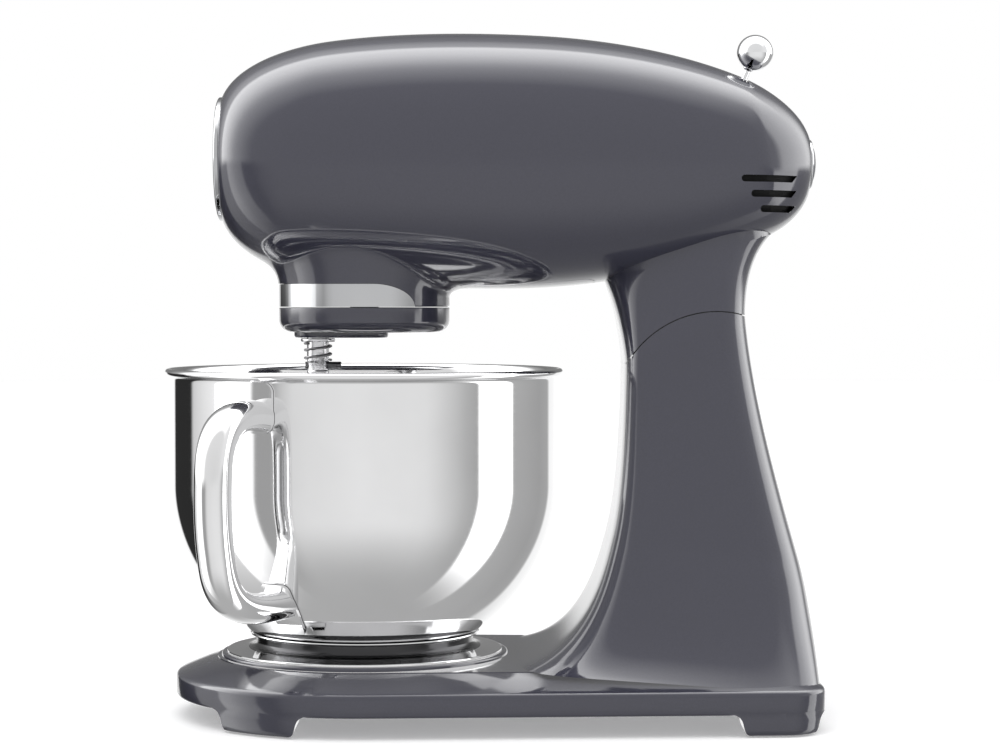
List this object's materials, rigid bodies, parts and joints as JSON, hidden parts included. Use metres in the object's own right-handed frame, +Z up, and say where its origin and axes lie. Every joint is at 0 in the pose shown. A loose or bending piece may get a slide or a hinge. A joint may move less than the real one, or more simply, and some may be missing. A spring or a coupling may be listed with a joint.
{
  "type": "stand mixer",
  "caption": "Tilt-head stand mixer with a rounded painted head and column, a planetary tool drive under the head, a front accessory port and a polished handled bowl locked on the base.",
  "frame": {"origin": "centre of the bounding box at the worktop", "axes": "+X towards the rear of the machine, +Y to the side away from the bowl's handle, +Z up"},
  "size_m": [0.3624, 0.2521, 0.3781],
  "materials": {
    "stand_casting": "gloss enamel over die casting",
    "base_bottom_plate": "zinc plated",
    "rubber_feet": "moulded rubber",
    "base_screws": "zinc plated",
    "bowl_seat_plate": "stamped steel",
    "seat_screws": "plated",
    "hinge_bracket": "machined casting",
    "bracket_bolts": "oiled black",
    "hinge_pin": "ground",
    "pin_circlips": "phosphated",
    "cord_gland": "moulded",
    "head_shell": "gloss enamel over die casting",
    "head_underside_cover": "gloss enamel over die casting",
    "neck_casting": "gloss enamel over die casting",
    "hinge_arm": "machined casting",
    "head_frame": "die cast",
    "frame_screws": "plated",
    "hub_housing": "gloss enamel over die casting",
    "hub_trim_band": "polished stainless steel",
    "front_trim_ring": "polished",
    "button_bezel": "polished",
    "vent_grilles": "moulded black",
    "accessory_sleeve": "turned",
    "gearbox_pan": "die cast",
    "ring_gear": "cut gear, greased",
    "main_bearings": "ground",
    "idler_axle": "ground",
    "motor_lower_bracket": "die cast",
    "motor_upper_bracket": "die cast",
    "motor_field": "stacked laminations",
    "motor_bolts": "plated",
    "motor_bearings": "ground",
    "brush_holders": "phenolic",
    "control_board": "lacquered board",
    "speed_potentiometer": "moulded",
    "button_spring": "spring wire",
    "planetary_carrier": "gloss enamel over die casting",
    "main_shaft": "ground",
    "main_gear": "cut gear, greased",
    "main_bevel_gear": "cut gear, greased",
    "tool_shaft": "polished stainless steel",
    "planet_pinion": "cut gear, greased",
    "tool_cross_pin": "hardened",
    "tool_spring": "spring wire",
    "tool_collar": "polished stainless steel",
    "idler_gear": "cut gear, greased",
    "rotor_shaft": "ground",
    "armature": "varnished laminations",
    "commutator": "turned copper",
    "cooling_fan": "moulded",
    "pto_shaft": "machined",
    "front_cover": "gloss enamel",
    "speed_lever": "polished",
    "speed_knob": "polished",
    "release_button": "polished",
    "latch_lever": "stamped steel",
    "bowl": "mirror polished stainless steel",
    "bowl_foot": "mirror polished stainless steel",
    "bowl_handle": "polished stainless steel"
  },
  "bodies": {
    "stand": {"stand_casting": "stand_casting", "base_bottom_plate": "base_bottom_plate", "rubber_feet": "rubber_feet", "base_screws": "base_screws", "bowl_seat_plate": "bowl_seat_plate", "seat_screws": "seat_screws", "hinge_bracket": "hinge_bracket", "bracket_bolts": "bracket_bolts", "hinge_pin": "hinge_pin", "pin_circlips": "pin_circlips", "cord_gland": "cord_gland"},
    "head": {"head_shell": "head_shell", "head_underside_cover": "head_underside_cover", "neck_casting": "neck_casting", "hinge_arm": "hinge_arm", "head_frame": "head_frame", "frame_screws": "frame_screws", "hub_housing": "hub_housing", "hub_trim_band": "hub_trim_band", "front_trim_ring": "front_trim_ring", "button_bezel": "button_bezel", "vent_grilles": "vent_grilles", "accessory_sleeve": "accessory_sleeve", "gearbox_pan": "gearbox_pan", "ring_gear": "ring_gear", "main_bearings": "main_bearings", "idler_axle": "idler_axle", "motor_lower_bracket": "motor_lower_bracket", "motor_upper_bracket": "motor_upper_bracket", "motor_field": "motor_field", "motor_bolts": "motor_bolts", "motor_bearings": "motor_bearings", "brush_holders": "brush_holders", "control_board": "control_board", "speed_potentiometer": "speed_potentiometer", "button_spring": "button_spring"},
    "carrier": {"planetary_carrier": "planetary_carrier", "main_shaft": "main_shaft", "main_gear": "main_gear", "main_bevel_gear": "main_bevel_gear"},
    "tool": {"tool_shaft": "tool_shaft", "planet_pinion": "planet_pinion", "tool_cross_pin": "tool_cross_pin", "tool_spring": "tool_spring", "tool_collar": "tool_collar"},
    "idler": {"idler_gear": "idler_gear"},
    "rotor": {"rotor_shaft": "rotor_shaft", "armature": "armature", "commutator": "commutator", "cooling_fan": "cooling_fan"},
    "accessory_drive": {"pto_shaft": "pto_shaft"},
    "cover": {"front_cover": "front_cover"},
    "lever": {"speed_lever": "speed_lever", "speed_knob": "speed_knob"},
    "button": {"release_button": "release_button"},
    "latch": {"latch_lever": "latch_lever"},
    "bowl_set": {"bowl": "bowl", "bowl_foot": "bowl_foot", "bowl_handle": "bowl_handle"}
  },
  "joints": [
    {"name": "head_tilt", "type": "hinge", "parent": "stand", "child": "head", "pos_m": [0.1233, 0.01524, 0.1679], "axis": [0, 1, 0], "range_deg": [0, 45]},
    {"name": "carrier_spin", "type": "hinge", "parent": "head", "child": "carrier", "pos_m": [-0.0703, 0.01524, 0.24], "axis": [0, 0, 1], "continuous": true},
    {"name": "tool_spin", "type": "hinge", "parent": "carrier", "child": "tool", "pos_m": [-0.0963, 0.01524, 0.22], "axis": [0, 0, 1], "continuous": true},
    {"name": "idler_spin", "type": "hinge", "parent": "head", "child": "idler", "pos_m": [-0.0228, 0.01524, 0.255], "axis": [0, 0, 1], "continuous": true},
    {"name": "rotor_spin", "type": "hinge", "parent": "head", "child": "rotor", "pos_m": [0.0142, 0.01524, 0.3], "axis": [0, 0, 1], "continuous": true},
    {"name": "accessory_spin", "type": "hinge", "parent": "head", "child": "accessory_drive", "pos_m": [-0.1103, 0.01524, 0.3089], "axis": [-1, 0, 0], "continuous": true},
    {"name": "front_cover_pull", "type": "slide", "parent": "head", "child": "cover", "axis": [-1, 0, 0], "range_m": [0, 0.06]},
    {"name": "lever_swing", "type": "hinge", "parent": "head", "child": "lever", "pos_m": [0.12743, 0.01524, 0.32013], "axis": [0.9225, 0, -0.3859], "range_deg": [-30, 30]},
    {"name": "button_press", "type": "slide", "parent": "head", "child": "button", "axis": [-1, 0, 0], "range_m": [0, 0.004], "stiffness_N_per_m": 800, "springref_m": -0.003, "deforming": ["button_spring"]},
    {"name": "latch_turn", "type": "hinge", "parent": "head", "child": "latch", "pos_m": [0.0897, 0.01524, 0.252], "axis": [0, 1, 0], "range_deg": [-4.3, 0]},
    {"name": "bowl_twist", "type": "hinge", "parent": "stand", "child": "bowl_set", "pos_m": [-0.0703, 0.01524, 0.04], "axis": [0, 0, 1], "range_deg": [0, 30]}
  ],
  "couplings": [
    {"joint": "tool_spin", "follows": "carrier_spin", "ratio": -4.7143},
    {"joint": "idler_spin", "follows": "carrier_spin", "ratio": -3.75},
    {"joint": "rotor_spin", "follows": "carrier_spin", "ratio": 16.071},
    {"joint": "accessory_spin", "follows": "carrier_spin", "ratio": 1},
    {"joint": "latch_turn", "follows": "button_press", "rad_per_m": -18.5}
  ]
}
